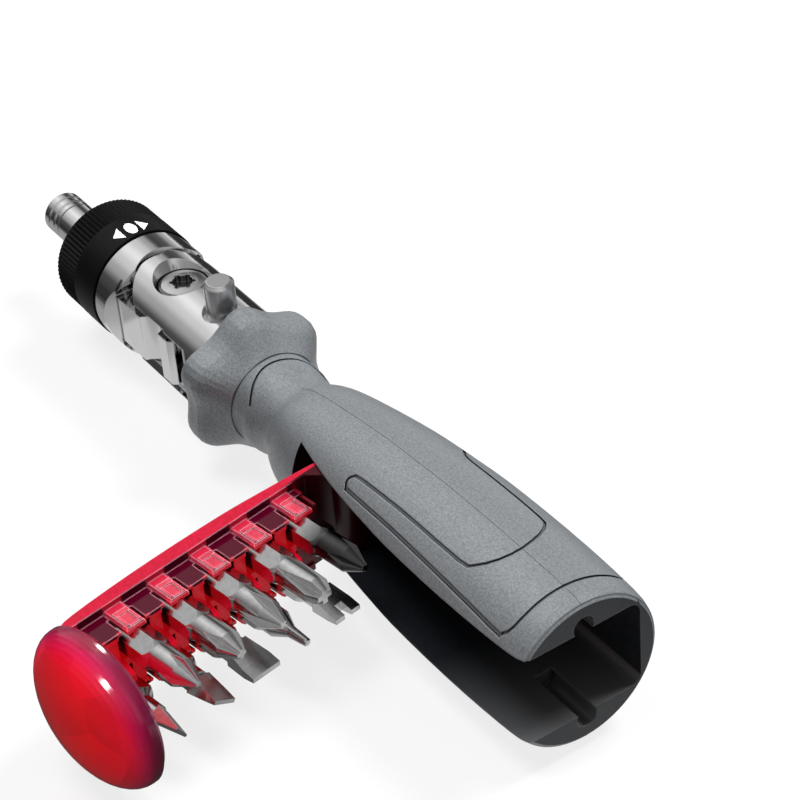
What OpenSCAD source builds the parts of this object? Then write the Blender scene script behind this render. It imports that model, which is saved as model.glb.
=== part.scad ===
// Ratcheting screwdriver with a folding head and a bit magazine that swings
// out of the grip. It lies along X: the bit socket opens at the origin towards
// -X, the grip points to +X, the lock pin stands up on +Z and the magazine is
// drawn swung open towards -Y.

/* [Bit socket] */
// Bit hexagon across flats
bit_af = 6.35; // [6.2:0.05:6.5]
// Bit length
bit_l = 25; // [24:0.5:26]
// Gap between the bit and the socket's flats
socket_gap = 0.08; // [0.05:0.01:0.15]
// Depth of the hexagonal socket
socket_depth = 14.5; // [13:0.5:15]
// Radius of the turning nose and of the fixed neck behind it
nose_r = 5.25; // [5:0.05:5.6]
// Length of the turning nose in front of the neck
nose_l = 7; // [6:0.5:8]
// Radius of the turned spindle behind the nose
spindle_r = 4.5; // [4.35:0.05:4.6]
// Radius of the magnet at the bottom of the socket
magnet_r = 2.4; // [2:0.1:2.8]
// Length of that magnet
magnet_l = 3; // [2:0.5:4]

/* [Ratchet] */
// Outer radius of the selector ring
ring_r = 14.1; // [13.8:0.1:14.6]
// Length of the selector ring
ring_l = 19; // [18:0.5:20]
// Wall of the selector ring
ring_wall = 2.5; // [2.2:0.1:2.8]
// Reach of the ring in front of the housing
ring_lip_l = 2.5; // [2:0.25:3]
// Length of the ring's fluted band
ring_grip_l = 8.4; // [6:0.2:9]
// Number of flutes round the ring
ring_flutes = 80; // [48:4:90]
// Turn of the ring from the middle to either mark
ring_turn = 25; // [20:1:25]
// Length of the fixed neck's straight part
neck_l = 9; // [7:0.5:11]
// Length of the neck's flare
flare_l = 3.8; // [3:0.2:5]
// Wall of the ratchet housing
housing_wall = 1.6; // [1.4:0.1:1.8]
// Radius over the teeth of the ratchet gear
gear_r = 6.6; // [6.4:0.05:6.7]
// Number of teeth of the ratchet gear
gear_teeth = 24; // [24:12:36]
// Height of a gear tooth
tooth_h = 0.9; // [0.7:0.05:1]
// Width of the gear along the spindle
gear_l = 5.5; // [5:0.25:6]
// Swing of each pawl when the ring turns to a mark
pawl_turn = 9; // [8:0.5:10]

/* [Folding joint] */
// Radius of the barrel
barrel_r = 13.3; // [13:0.1:13.6]
// Step from the barrel up to the silver collar in front of it
collar_step = 0.5; // [0.2:0.05:0.7]
// Length of the silver collar at its narrowest
collar_l = 5.4; // [4:0.2:7]
// Thickness of the tongue between the ears
tongue_t = 12; // [11:0.25:12.5]
// Half width between the tongue's flats
tongue_flat = 11.5; // [11:0.25:12]
// Radius of the tongue's notched rim about the pivot
rim_r = 15.7; // [15.4:0.1:15.8]
// Angle between two lock notches
notch_angle = 30; // [29:0.5:32]
// Radius of the pivot screw's shank
pivot_r = 3.5; // [3:0.1:4]
// Radius of the pivot screw's head
pivot_head_r = 5.9; // [5.6:0.1:6]
// Distance from the pivot to the lock pin
lock_reach = 17.6; // [17.5:0.1:18]
// Radius of the lock pin
lock_r = 3.5; // [3.3:0.1:3.6]
// Height of the lock pin's top above the barrel
lock_rise = 7.9; // [6.9:0.2:8.7]
// Travel of the lock pin
lock_travel = 4.5; // [4:0.1:4.6]
// Distance from the lock pin's side to the front of the hand guard
guard_gap = 2.9; // [2.4:0.1:4.9]

/* [Grip] */
// Distance from the front of the hand guard to the magazine's hinge
front_l = 53.2; // [51.2:0.5:56.2]
// Wall of the grip behind the magazine's bay where the grip is thickest
back_wall = 5.4; // [5.2:0.1:6]
// Wall of the hand guard round the barrel, between its lobes
guard_wall = 2; // [1.8:0.1:2.7]
// Height of the lobes above that
lobe_h = 2.5; // [1.7:0.1:3.2]
// Length of the hand guard
guard_l = 12.5; // [11:0.5:14]
// Depth of the barrel's seat inside the guard
seat_l = 4; // [3.5:0.25:5]
// Plastic between the end of the barrel's tang and the magazine's room
tang_stop = 7; // [6:0.5:11]
// Radius of the tang
tang_r = 5.5; // [5:0.1:6]

/* [Magazine] */
// Half height of the magazine bay and of its slot
bay_h = 10.6; // [10.4:0.1:10.8]
// Depth of the bay beyond the tool's axis
bay_depth = 13.4; // [13.2:0.1:13.6]
// Corner radius inside the bay
bay_corner = 2.6; // [2:0.2:3.2]
// Distance from the handle's rear face to the magazine's hinge
hinge_back = 69.8; // [69:0.2:70.5]
// Distance of that hinge from the tool's axis
hinge_off = 7.8; // [7.6:0.1:8]
// Radius of the magazine's hinge pin
hinge_r = 1.5; // [1.3:0.1:1.7]
// Angle through which the magazine swings open
open_angle = 80.5; // [70:0.5:82]
// Distance between bits in a row
bit_pitch = 10.9; // [10.7:0.1:11]
// Distance from the hinge to the first bit
first_bit = 14.2; // [14:0.1:14.6]
// Shift of the lower row of bits
row_shift = 5.6; // [5.4:0.1:5.8]
// Distance of each row from the middle of the rack
row_h = 4.3; // [4.1:0.1:4.5]
// Bulge of the end dome
dome_bulge = 10.2; // [8:0.2:11]

/* [Hidden] */

// Gap of a running fit, of parts that pass each other, and the overrun of a cut
run_gap = 0.05;
pass_gap = 0.3;
over = 1;
round_seg = 96;
small_seg = 48;
fine_seg = 24;
wire_seg = 8;
steel = [0.68, 0.68, 0.7];

// Stations along the tool, from the mouth of the socket
neck_x = nose_l + pass_gap;
flare_x = neck_x + neck_l;
disc_x = flare_x + flare_l;
disc_l = 4;
housing_x = disc_x + disc_l;
ring_front = housing_x - ring_lip_l;
ring_rear = ring_front + ring_l;
collar_x = ring_rear + pass_gap;
ear_clear = 0.5;
pivot_x = collar_x + collar_l + ear_clear + barrel_r;
lock_x = pivot_x + lock_reach;
guard_x = lock_x + lock_r + guard_gap;
barrel_rear = guard_x + seat_l;
grip_x = guard_x + guard_l;
hinge_x = guard_x + front_l;
handle_end = hinge_x + hinge_back;
heel_r = 11.9;
mag_gap = 0.3;
tang_end = hinge_x - heel_r - mag_gap - tang_stop;
grip_r = bay_depth + back_wall;
collar_r = barrel_r + collar_step;
valley_r = barrel_r + guard_wall;
lobe_r = valley_r + lobe_h;
lock_top = barrel_r + lock_rise;

// Nose: edge rounding, the two bands cut round it and the mouth's chamfer
nose_edge = 0.45;
nose_band = 2.4;
nose_cut_l = 0.4;
nose_cut_d = 0.35;
mouth_r = 4.3;
mouth_l = 0.9;

// Radii of the ratchet, from the ring inwards, and stations of its inner parts
ring_bore = ring_r - ring_wall;
ring_edge = 1.8;
flute_d = 0.4;
housing_r = ring_bore - run_gap;
chamber_r = housing_r - housing_wall;
disc_r = ring_bore - 2 * pass_gap;
spigot_l = 2;
plate_t = 1.2;
plate_x = housing_x + spigot_l + pass_gap;
gear_x = plate_x + plate_t + 2 * pass_gap;
gear_end = gear_x + gear_l;
chamber_end = gear_end + pass_gap;
clip_t = 0.7;
clip_x = gear_end + run_gap;
clip_r = 4.6;
clip_bore = 2.95;
clip_mouth = 2;
clip_room = 6;
bearing_x = clip_x + clip_t + pass_gap;
tail_r = 3.4;
tail_l = 4;
gear_hex = 7;
tooth_root = gear_r - tooth_h;
flat_share = 1 / cos(30);

// Pawls: pivot and its angle from the tip, boss, pin, wedge and cam peg
pawl_pivot_r = 8.3;
pawl_angle = 38;
pawl_boss = 1.2;
pawl_pin_r = 0.8;
pawl_pin_l = 2.2;
pawl_tip_r = tooth_root + tooth_h / 3;
pawl_half = 0.6;
pawl_wedge = 1;
pawl_back = 1.6;
pawl_heel = 0.95;
pawl_neck = 0.6;
peg_r = 0.5;
peg_drop = 2.4;
peg_clear = 0.25;
plate_edge = 0.35;
plate_bore = 5.2;
tab_half = 3;
tab_reach = 0.7;
spring_leaf = 0.5;
spring_leaf_angle = 41;
notch_steps = 12;

// Ears, pivot screw and lock pin
ear_round = 1.5;
slot_gap = 0.2;
slot_h = tongue_t / 2 + slot_gap;
ear_r = sqrt(pow(barrel_r, 2) - pow(slot_h, 2)) - run_gap;
slot_lip = 1.95;
slot_lip_angle = 59;
slot_r = rim_r + ear_clear;
ramp_from = 8;
ramp_flat = 6;
ramp_l = 9;
ramp_d = 4;
ramp_h = 1.2;
sink_r = 7.4;
sink_d = 1.7;
head_l = 2.2;
head_dome = 0.8;
head_z = barrel_r - sink_d - head_dome;
thread_r = 2.6;
drive_r = 3;
drive_d = 1.9;
drive_lobe = 0.6;
waist_r = lock_reach - rim_r - pass_gap;
lock_sink_r = 4.5;
lock_sink_d = 1.3;
lock_chamfer = 0.8;
lock_tail = 7.8;
lock_groove = 0.15;
lock_ball_r = 1.2;
lock_ball_x = lock_x + lock_r + lock_ball_r;
lock_ball_depth = 3.7;
lock_ball_z = barrel_r - lock_ball_depth;
lock_wire = 0.22;
tang_flat = 1.2;
tang_ring_l = 3;

// Selector detent
detent_r = 1;
detent_x = ring_rear - 2.5 * detent_r;
detent_l = 4.5;
detent_wire = 0.18;
spring_turns = 4;

// Collar and tongue in plan, with the round notches in the tongue's flats
collar_edge = 0.3;
collar_side = 4.2;
collar_back = 10.2;
tongue_taper = 3;
flank_notch_x = 2.8;
flank_notch_y = 12.6;
flank_notch_r = 4.2;

// Grip outline as shares of its length and of its largest radius
grip_shares = [[0, 0.575], [0.05, 0.583], [0.075, 0.553], [0.102, 0.54], [0.125, 0.56],
  [0.147, 0.63], [0.176, 0.69], [0.214, 0.74], [0.267, 0.793], [0.322, 0.842], [0.396, 0.9],
  [0.457, 0.933], [0.53, 0.964], [0.602, 0.989], [0.715, 1], [0.826, 0.995], [0.926, 0.973],
  [0.98, 0.947], [1, 0.905]];
grip_l = handle_end - grip_x;
grip_steps = 2;
grip_profile = smooth([for (p = grip_shares) [grip_x + p[0] * grip_l, p[1] * grip_r]], grip_steps);

// Hand guard: place along it, swell of the lobes and taper towards the grip
guard_shares = [[0, 0.94, 1], [0.06, 0.985, 1], [0.16, 1, 1], [0.42, 1, 1], [0.55, 0.97, 1],
  [0.68, 0.9, 0.85], [0.8, 0.81, 0.6], [0.9, 0.735, 0.35], [1, 0.67, 0.1]];
guard_lobes = 6;
guard_seg = 72;
lobe_power = 1.15;

// Line pressed into the grip round its raised pads, in plan, as distances from the rear
// face and from the tool's middle; its half width and depth; and the mould's seam
pad_line = [[104.5, -9.2], [107, -6.4], [108.4, -3.2], [108.5, 0], [108, 3.2], [106.6, 7],
  [101.3, 8.9], [96.7, 9.3], [88, 12], [77.5, 13.2], [69.2, 13.7], [60.2, 13.8], [56.3, 13.2],
  [53.6, 11.3], [50.6, 10.3], [46, 10], [38.8, 10], [26.5, 9.8], [23.3, 8.8], [20.4, 5.4],
  [18.6, 0], [19.4, -5], [22.4, -8.8], [26, -9.8], [42.5, -9.8], [59.4, -9.8], [61.8, -10.2],
  [62.7, -11.2], [61.8, -12.2], [59.4, -12.5], [37, -13.2], [11, -13.7], [7.6, -13.3],
  [6.2, -11.4], [5.9, -6], [5.7, 0], [5.5, 7], [5.6, 12], [6.6, 14.8], [9.6, 16.3], [22, 17.2],
  [38, 17.4], [56, 16.5]];
pad_line_half = 0.32;
pad_line_d = 0.4;
pad_steps = 2;
seam_from = 98;
seam_half = 0.12;
seam_h = 0.08;
rear_edge = 0.5;

// Magazine bay, rack and cap
hinge_boss = 3.6;
pin_wall = 2;
pin_chamfer = 0.3;
pin_low_share = 0.86;
rack_h = bay_h - mag_gap;
bit_room = 0.4;
bit_seat = bay_depth - bit_room - bit_l;
bit_gap = 0.12;
bay_lead = 7;
bay_x = hinge_x + first_bit - bay_lead;
block_l = 4.6;
block_y = 6;
block_root = 2;
mouth_half = 4;
mouth_d = 4;
shelf_half = 0.9;
clip_half = 2.35;
clip_y = 1.4;
clip_h = 1.3;
clip_edge = 0.45;
lug_half = 2.4;
lug_y = 0.45;
lug_h = 0.7;
fin_root = 2.5;
fin_end = 1.5;
fin_l = 4.5;
channel_r = 2.4;
channel_up = 1.2;
channel_l = 14;
cap_gap = 0.4;
cap_share = 0.935;
cap_r = grip_r * cap_share;
cap_wall = 2.2;
cap_edge = 0.9;
cap_band = 1.6;
cap_seg = 14;
disc_t = 2;
cap_x = handle_end + cap_gap;

// Bits: length of the hexagon, chamfer of its butt and cone behind the shank
hex_l = 12.3;
butt_edge = 0.6;
cone_l = 1.3;

// Cross bits: radius of shank and tip, length of the flutes, their depth left at the tip
// and the turn of each bit in its pocket
cross_shank = [3.05, 3.05, 3.05, 3.1, 3];
cross_tip = [0.7, 1.1, 0.9, 1.8, 0.8];
cross_flute_l = [8, 8.5, 10, 11.5, 8];
cross_web = [0.4, 0.6, 0.45, 0.9, 0.5];
cross_turn_angle = [45, 0, 45, 0, 20];
cross_cone_angle = 26.5;
flute_w = 4;

// Flat bits, and the forked one last: shank radius, half width, tip and length of blade
slot_shank = [2, 2.5, 2.8, 2.8];
slot_half = [1.9, 2.7, 3.5, 3.2];
slot_tip = [0.6, 0.9, 1.1, 1.2];
slot_blade = [7, 8, 9, 8];
slot_turn_angle = [-62, -30, 0, 0];
blade_share = 0.8;
root_share = 0.93;
fork_l = 3;
fork_half = 0.9;

// Pin bit: shank, pin at its tip and at its root, length of pin and of the cone, tip chamfer
pin_shank = 3;
pin_bit_r = 0.9;
pin_root_r = 1.3;
pin_bit_l = 5;
pin_step = 3.6;
pin_edge = 0.3;

// Curve through a list of points, with so many steps between each two.
function smooth(points, steps) = let (last = len(points) - 1)
  concat([for (i = [0:last - 1]) for (k = [0:steps - 1])
    let (t = k / steps, a = points[max(i - 1, 0)], b = points[i], c = points[i + 1],
         d = points[min(i + 2, last)])
    b + ((c - a) * t + (2 * a - 5 * b + 4 * c - d) * t * t + (3 * b - a - 3 * c + d) * t * t * t) / 2],
    [points[last]]);

// Strip of a given half width along a line of points.
function ribbon(points, half) = let (last = len(points) - 1,
  sides = [for (i = [0:last]) let (d = points[min(i + 1, last)] - points[max(i - 1, 0)])
    [-d[1], d[0]] * half / norm(d)])
  concat([for (i = [0:last]) points[i] + sides[i]], [for (i = [last:-1:0]) points[i] - sides[i]]);

// Turns a profile of [place along X, radius] points about the X axis.
module turned(profile, seg = round_seg) {
  rotate([0, 90, 0]) rotate_extrude($fn = seg)
    polygon([for (p = profile) [p[1], p[0]]]);
}

// Draws a flat shape in Y and Z and runs it along X from one station to another.
module along_x(from, to) {
  translate([from, 0, 0]) rotate([90, 0, 90]) linear_extrude(to - from) children();
}

// Round bar along X.
module rod_x(from, to, r, seg = round_seg) {
  translate([from, 0, 0]) rotate([0, 90, 0]) cylinder(h = to - from, r = r, $fn = seg);
}

// Round bar along Z at a place on the tool.
module rod_z(x, y, low, high, r, seg = small_seg) {
  translate([x, y, low]) cylinder(h = high - low, r = r, $fn = seg);
}

// Hexagonal bar along X with flats that face up and down.
module hex_x(from, to, across) {
  translate([from, 0, 0]) rotate([0, 90, 0])
    cylinder(h = to - from, r = across / 2 * flat_share, $fn = 6);
}

// Coil spring along X.
module coil_x(from, to, r, wire, turns) {
  translate([from, 0, 0]) rotate([0, 90, 0])
    linear_extrude(to - from, twist = -360 * turns, slices = 12 * turns)
      translate([r - wire, 0]) circle(wire, $fn = wire_seg);
}

// Places a part that is drawn with the magazine shut into the open pose.
module swung_open() {
  translate([hinge_x, -hinge_off, 0]) rotate([0, 0, -open_angle])
    translate([-hinge_x, hinge_off, 0]) children();
}

// Turned outline of the grip, drawn in by an inset.
module grip_form(inset = 0, tail = 0) {
  turned(concat([[grip_x, 0]], [for (p = grip_profile) [p[0], p[1] - inset]],
    [[handle_end + tail, grip_profile[len(grip_profile) - 1][1] - inset],
     [handle_end + tail, 0]]));
}

// Hand guard: a ring of rounded lobes that sinks into the neck of the grip.
function lobe_swell(angle) = pow((1 + cos(guard_lobes * (angle - 90))) / 2, lobe_power);
function guard_ring(s) = [for (i = [0:guard_seg - 1])
  let (angle = 360 * i / guard_seg,
       swell = (lobe_r - valley_r) * (lobe_swell(angle) * s[2] + (1 - s[2]) / 2),
       r = (valley_r + swell) * s[1])
  [guard_x + s[0] * guard_l, r * cos(angle), r * sin(angle)]];

module guard_form() {
  rings = len(guard_shares);
  last = (rings - 1) * guard_seg;
  polyhedron(
    points = [for (s = guard_shares) each guard_ring(s)],
    faces = concat(
      [[for (i = [0:guard_seg - 1]) i]],
      [for (k = [0:rings - 2]) for (i = [0:guard_seg - 1])
        let (j = (i + 1) % guard_seg, a = k * guard_seg)
        each [[a + i, a + guard_seg + i, a + guard_seg + j], [a + i, a + guard_seg + j, a + j]]],
      [[for (i = [guard_seg - 1:-1:0]) last + i]]));
}

// Section of the magazine bay, open to the -Y side.
module bay_section() {
  union() {
    translate([-2 * grip_r, -bay_h]) square([2 * grip_r + bay_depth - bay_corner, 2 * bay_h]);
    translate([0, bay_corner - bay_h]) square([bay_depth, 2 * (bay_h - bay_corner)]);
    for (side = [-1, 1]) translate([bay_depth - bay_corner, side * (bay_h - bay_corner)])
      circle(bay_corner, $fn = small_seg);
  }
}

// Grooves that edge the raised pads, above and below.
module pad_grooves() {
  line = smooth([for (p = pad_line) [handle_end - p[0], p[1]]], pad_steps);
  difference() {
    translate([0, 0, -grip_r]) linear_extrude(2 * grip_r) polygon(ribbon(line, pad_line_half));
    grip_form(pad_line_d);
  }
}

module handle() {
  rear_r = grip_profile[len(grip_profile) - 1][1];
  color([0.56, 0.59, 0.62]) difference() {
    union() {
      guard_form();
      grip_form();
      intersection() {
        grip_form(-seam_h);
        translate([handle_end - seam_from, -seam_half, -2 * grip_r])
          cube([seam_from, 2 * seam_half, 4 * grip_r]);
      }
    }
    pad_grooves();
    turned([[handle_end - rear_edge, rear_r], [handle_end, rear_r - rear_edge],
      [handle_end + over, rear_r - rear_edge], [handle_end + over, rear_r + over],
      [handle_end - rear_edge, rear_r + over]]);
    rod_x(guard_x - over, barrel_rear, barrel_r + run_gap);
    rod_x(guard_x, tang_end, tang_r + run_gap);
    along_x(bay_x, handle_end + over) bay_section();
    rod_z(hinge_x, -hinge_off, -bay_h, bay_h, heel_r + mag_gap, round_seg);
    translate([hinge_x, -2 * grip_r, -bay_h])
      cube([bay_x - hinge_x + over, 2 * grip_r - hinge_off, 2 * bay_h]);
    rod_z(hinge_x, -hinge_off, -grip_r, bay_h + pin_wall, hinge_r + run_gap);
    for (side = [-1, 1])
      translate([0, 0, side * (bay_h + channel_up)])
        rod_x(handle_end - channel_l, handle_end + over, channel_r);
  }
}

// Plan of the barrel's front: two ears whose ends are round about the pivot.
module ear_form() {
  edge = [for (a = [0:15:90]) [ear_r - ear_round * (1 - cos(a)),
    barrel_r - ear_round * (1 - sin(a))]];
  rotate_extrude($fn = round_seg)
    polygon(concat([[0, -barrel_r]], [for (i = [len(edge) - 1:-1:0]) [edge[i][0], -edge[i][1]]],
      edge, [[0, barrel_r]]));
}

module barrel() {
  color([0.72, 0.73, 0.75]) difference() {
    union() {
      intersection() {
        rod_x(pivot_x - barrel_r - over, barrel_rear, barrel_r);
        union() {
          translate([pivot_x, 0, 0]) ear_form();
          translate([pivot_x, -barrel_r, -barrel_r])
            cube([barrel_rear - pivot_x, 2 * barrel_r, 2 * barrel_r]);
        }
      }
      difference() {
        rod_x(barrel_rear - over, tang_end, tang_r);
        for (side = [-1, 1]) translate([barrel_rear + tang_ring_l, 0, side * tang_r])
          cube([2 * (tang_end - barrel_rear - 2 * tang_ring_l), 2 * tang_r, 2 * tang_flat], center = true);
      }
    }
    // slot between the ears, with scooped ramps that clear the collar when folded
    rod_z(pivot_x, 0, -slot_h, slot_h, slot_r, round_seg);
    translate([pivot_x - barrel_r - over, -barrel_r - over, -slot_h])
      cube([barrel_r + over, 2 * (barrel_r + over), 2 * slot_h]);
    for (side = [0, 1]) mirror([0, side, 0])
      translate([pivot_x, 0, -slot_h - ramp_h]) linear_extrude(2 * (slot_h + ramp_h))
        polygon([[ramp_from, barrel_r + over], [ramp_from, barrel_r - ramp_d],
          [ramp_from + ramp_flat, barrel_r - ramp_d], [ramp_from + ramp_flat + ramp_l, barrel_r],
          [ramp_from + ramp_flat + ramp_l, barrel_r + over]]);
    // bevels along the slot's edges
    for (side = [0, 1]) mirror([0, side, 0]) along_x(pivot_x - barrel_r, pivot_x + ramp_from + over)
      let (y = ear_r - slot_lip, rise = (slot_lip + barrel_r) * tan(slot_lip_angle))
      polygon([[y, -slot_h], [y, slot_h], [y + slot_lip + barrel_r, slot_h + rise],
        [y + slot_lip + barrel_r, -slot_h - rise]]);
    // pivot bores and the sunk seat of the screw's head
    rod_z(pivot_x, 0, 0, barrel_r + over, pivot_r + run_gap);
    rod_z(pivot_x, 0, -barrel_r - over, 0, thread_r + run_gap);
    rod_z(pivot_x, 0, head_z - head_l, barrel_r + over, pivot_head_r + 2 * run_gap);
    translate([pivot_x, 0, head_z])
      cylinder(h = barrel_r - head_z + run_gap, r1 = pivot_head_r + 2 * run_gap, r2 = sink_r,
        $fn = round_seg);
    // bores of the lock pin and of its detent
    rod_z(lock_x, 0, 0, barrel_r + over, lock_r + run_gap);
    rod_z(lock_x, 0, -lock_tail - lock_travel - pass_gap, 0, waist_r + run_gap);
    rod_z(lock_x, 0, barrel_r - lock_sink_d, barrel_r + over, lock_sink_r);
    translate([0, 0, lock_ball_z])
      rod_x(lock_x, barrel_rear + over, lock_ball_r + run_gap, small_seg);
  }
}

module pivot_screw() {
  color([0.66, 0.67, 0.69]) translate([pivot_x, 0, 0]) difference() {
    union() {
      rod_z(0, 0, -slot_h, head_z, pivot_r);
      rod_z(0, 0, -barrel_r + ear_round, over - slot_h, thread_r);
      rotate_extrude($fn = small_seg) polygon(concat([[0, head_z - head_l]],
        [[pivot_head_r, head_z - head_l], [pivot_head_r, head_z - pass_gap],
         [pivot_head_r - pass_gap, head_z]],
        [for (a = [30:20:90]) [(pivot_head_r - pass_gap) * cos(a), head_z + head_dome * sin(a)]],
        [[0, head_z + head_dome]]));
    }
    translate([0, 0, head_z + head_dome - drive_d]) linear_extrude(drive_d + over) union() {
      circle(drive_r - drive_lobe, $fn = small_seg);
      for (i = [0:5]) rotate(60 * i) translate([drive_r - drive_lobe, 0])
        circle(drive_lobe, $fn = fine_seg);
    }
  }
}

module lock_pin() {
  color([0.62, 0.63, 0.65]) translate([lock_x, 0, 0]) difference() {
    union() {
      rod_z(0, 0, slot_h + pass_gap, lock_top - lock_chamfer, lock_r);
      rod_z(0, 0, -lock_tail, slot_h + pass_gap + over, waist_r);
      translate([0, 0, lock_top - lock_chamfer])
        cylinder(h = lock_chamfer, r1 = lock_r, r2 = lock_r - lock_chamfer, $fn = small_seg);
    }
    for (z = [lock_ball_z, lock_ball_z + lock_travel]) translate([0, 0, z])
      rotate_extrude($fn = small_seg) polygon([[lock_r + over, -lock_ball_r / 2],
        [lock_r + over, lock_ball_r / 2], [lock_r - lock_groove, 0]]);
  }
}

module lock_ball() {
  color([0.8, 0.8, 0.82]) translate([lock_ball_x, 0, lock_ball_z])
    sphere(lock_ball_r - run_gap, $fn = small_seg);
}

module lock_spring() {
  color([0.7, 0.7, 0.72]) translate([0, 0, lock_ball_z])
    coil_x(lock_ball_x + lock_ball_r, barrel_rear - run_gap, lock_ball_r - run_gap, lock_wire, spring_turns);
}

// Round notches in the tongue's flats beside the pivot.
module flank_notches() {
  for (side = [-1, 1]) translate([pivot_x + flank_notch_x, side * flank_notch_y])
    circle(flank_notch_r, $fn = small_seg);
}

// Plan of the ratchet housing behind the ring: collar, flats and notched rim.
module housing_plan() {
  side_x = collar_x + collar_side;
  union() {
    difference() {
      polygon([[collar_x, -collar_r], [side_x, -collar_r], [side_x + tongue_taper, -tongue_flat],
        [pivot_x, -tongue_flat], [pivot_x, tongue_flat], [side_x + tongue_taper, tongue_flat],
        [side_x, collar_r], [collar_x, collar_r]]);
      flank_notches();
    }
    difference() {
      intersection() {
        translate([pivot_x, 0]) circle(rim_r, $fn = round_seg);
        translate([pivot_x - over, -tongue_flat]) square([2 * rim_r, 2 * tongue_flat]);
      }
      for (k = [-1:1]) translate([pivot_x, 0]) rotate(k * notch_angle)
        translate([lock_reach, 0]) circle(lock_r + pass_gap, $fn = small_seg);
      flank_notches();
    }
  }
}

module ratchet_housing() {
  color([0.74, 0.75, 0.77]) difference() {
    union() {
      rod_x(housing_x, collar_x + over, housing_r);
      intersection() {
        turned([[collar_x, 0], [collar_x, collar_r - collar_edge],
          [collar_x + collar_edge, collar_r], [pivot_x + rim_r, collar_r], [pivot_x + rim_r, 0]]);
        translate([0, 0, -collar_r]) linear_extrude(2 * collar_r) housing_plan();
      }
    }
    // room for the ears above and below the tongue, also when folded
    for (side = [0, 1]) mirror([0, 0, side]) translate([pivot_x, 0, tongue_t / 2]) {
      cylinder(h = collar_r, r = ear_r + pass_gap, $fn = round_seg);
      translate([-collar_back, -collar_r - over, 0])
        cube([collar_back + 2 * rim_r, 2 * (collar_r + over), collar_r]);
    }
    difference() {
      translate([pivot_x, -collar_r - over, 0]) rotate([-90, 0, 0])
        cylinder(h = 2 * (collar_r + over), r = barrel_r + pass_gap, $fn = round_seg);
      translate([0, -collar_r - 2 * over, -tongue_t / 2])
        cube([2 * pivot_x, 2 * (collar_r + 2 * over), tongue_t]);
    }
    rod_x(housing_x - over, chamber_end, chamber_r);
    rod_x(chamber_end - over, bearing_x, clip_room);
    rod_x(chamber_end, bearing_x + tail_l + pass_gap, tail_r + run_gap);
    // wedges above and below in which the cam plate's tabs turn
    along_x(housing_x - over, plate_x + plate_t + pass_gap)
      for (side = [-1, 1]) polygon([[0, 0], [2 * housing_r, side * 2 * housing_r],
        [-2 * housing_r, side * 2 * housing_r]]);
    for (side = [-1, 1]) translate([0, side * pawl_pivot_r * cos(pawl_angle),
      -pawl_pivot_r * sin(pawl_angle)])
        rod_x(chamber_end - over, chamber_end + pawl_pin_l, pawl_pin_r + run_gap, small_seg);
    rod_z(pivot_x, 0, -tongue_t, tongue_t, pivot_r + run_gap);
    translate([detent_x, housing_r - detent_l, 0]) rotate([-90, 0, 0])
      cylinder(h = detent_l + over, r = detent_r + run_gap, $fn = small_seg);
  }
}

// Outline of the ring's fluted band.
function fluted(r, count) = [for (i = [0:2 * count - 1])
  let (angle = 180 * i / count, reach = r - flute_d * (i % 2)) [reach * cos(angle), reach * sin(angle)]];

module selector_ring() {
  band_end = ring_front + ring_edge + ring_grip_l;
  color([0.1, 0.1, 0.11]) difference() {
    union() {
      turned([[ring_front, 0], [ring_front, ring_r - ring_edge],
        [ring_front + ring_edge - 2 * flute_d, ring_r - 2 * flute_d],
        [band_end, ring_r - 2 * flute_d], [band_end, ring_r], [ring_rear - run_gap, ring_r],
        [ring_rear, ring_r - run_gap], [ring_rear, 0]]);
      intersection() {
        along_x(ring_front + run_gap, band_end + run_gap)
          polygon(fluted(ring_r - run_gap, ring_flutes));
        turned([[ring_front, 0], [ring_front, ring_r - ring_edge],
          [ring_front + ring_edge + over, ring_r + over], [ring_rear, ring_r + over],
          [ring_rear, 0]]);
      }
    }
    rod_x(ring_front - over, ring_rear + over, ring_bore);
    for (side = [-1, 1]) translate([(housing_x + plate_x + plate_t) / 2, 0, side * ring_bore])
      cube([plate_x + plate_t - housing_x + pass_gap, 2 * (tab_half + run_gap),
        2 * (tab_reach + run_gap)], center = true);
    for (turn = [-ring_turn, 0, ring_turn]) rotate([turn, 0, 0]) translate([0, ring_bore, 0])
      rod_x(detent_x - detent_r, ring_rear + over, detent_r / 2, fine_seg);
  }
}

module front_cap() {
  flare = [for (a = [0:15:75]) [flare_x + flare_l * sin(a), nose_r + flare_l * (1 - cos(a))]];
  color([0.78, 0.78, 0.8]) turned(concat(
    [[neck_x, spindle_r + run_gap], [neck_x, nose_r - run_gap], [neck_x + run_gap, nose_r]],
    flare,
    [[disc_x, disc_r - disc_l / 2], [disc_x + disc_l / 2, disc_r], [housing_x, disc_r],
     [housing_x, chamber_r - run_gap], [housing_x + spigot_l, chamber_r - run_gap],
     [housing_x + spigot_l, spindle_r + run_gap]]));
}

// Pawl in mesh on the +Y side: its pivot, its cam peg and its outline in Y and Z.
pawl_pivot = [pawl_pivot_r * cos(pawl_angle), -pawl_pivot_r * sin(pawl_angle)];
peg_meshed = [pawl_tip_r + pawl_wedge, -peg_drop];
pawl_ratio = pawl_turn / ring_turn;

function turn_about(p, centre, angle) = let (d = p - centre)
  centre + [d[0] * cos(angle) - d[1] * sin(angle), d[0] * sin(angle) + d[1] * cos(angle)];

module pawl_outline() {
  polygon([[pawl_tip_r, 0], [pawl_tip_r + pawl_wedge, pawl_half],
    [pawl_tip_r + pawl_back, pawl_half], pawl_pivot + [pawl_heel * pawl_boss, 0],
    pawl_pivot - [pawl_heel * pawl_boss, -pawl_neck], [pawl_tip_r + pawl_wedge, -pawl_half]]);
}

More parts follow.
